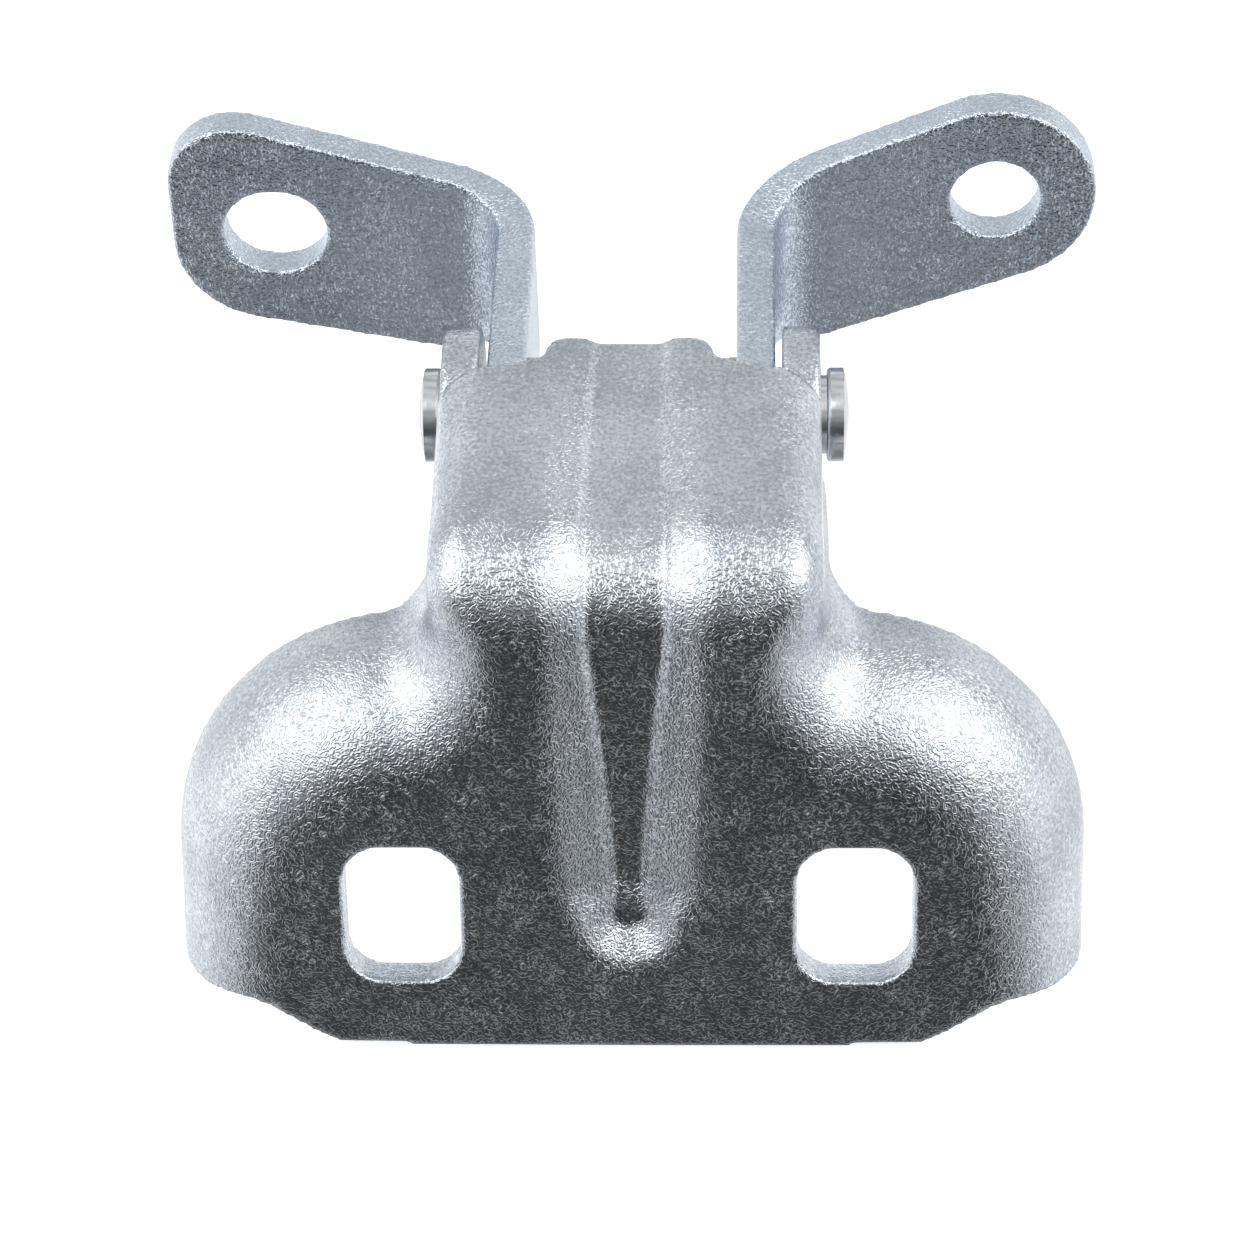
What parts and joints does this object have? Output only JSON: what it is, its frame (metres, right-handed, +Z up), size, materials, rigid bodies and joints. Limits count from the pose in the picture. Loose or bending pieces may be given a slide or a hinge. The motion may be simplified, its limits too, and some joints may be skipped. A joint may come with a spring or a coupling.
{
  "type": "car door hinge",
  "caption": "Car door hinge: a drawn steel bracket with a pressed groove and bolt slots, and a folded leaf with tabs that turns on a riveted pin.",
  "frame": {"origin": "on the outer flat face of the bracket's base, midway between its two bolt slots", "axes": "+X along the pin towards the tab with the round hole, +Y from the base's flat face into the hinge, +Z up the face towards the pin"},
  "size_m": [0.1145, 0.0803, 0.0922],
  "materials": {
    "bracket_zinc": "bright zinc plating over drawn sheet with a fine pebbled grain",
    "leaf_zinc": "zinc plating over folded sheet, duller than the bracket",
    "pin_zinc": "turned steel with spun heads",
    "bush_bronze": "plain rolled bush"
  },
  "bodies": {
    "bracket": {"door_bracket": "bracket_zinc", "hinge_pin": "pin_zinc"},
    "leaf": {"body_leaf": "leaf_zinc", "left_bush": "bush_bronze", "right_bush": "bush_bronze"}
  },
  "joints": [
    {"name": "leaf_hinge", "type": "hinge", "parent": "bracket", "child": "leaf", "pos_m": [0, 0.041, 0.04462], "axis": [1, 0, 0], "range_deg": [-15, 60]}
  ]
}
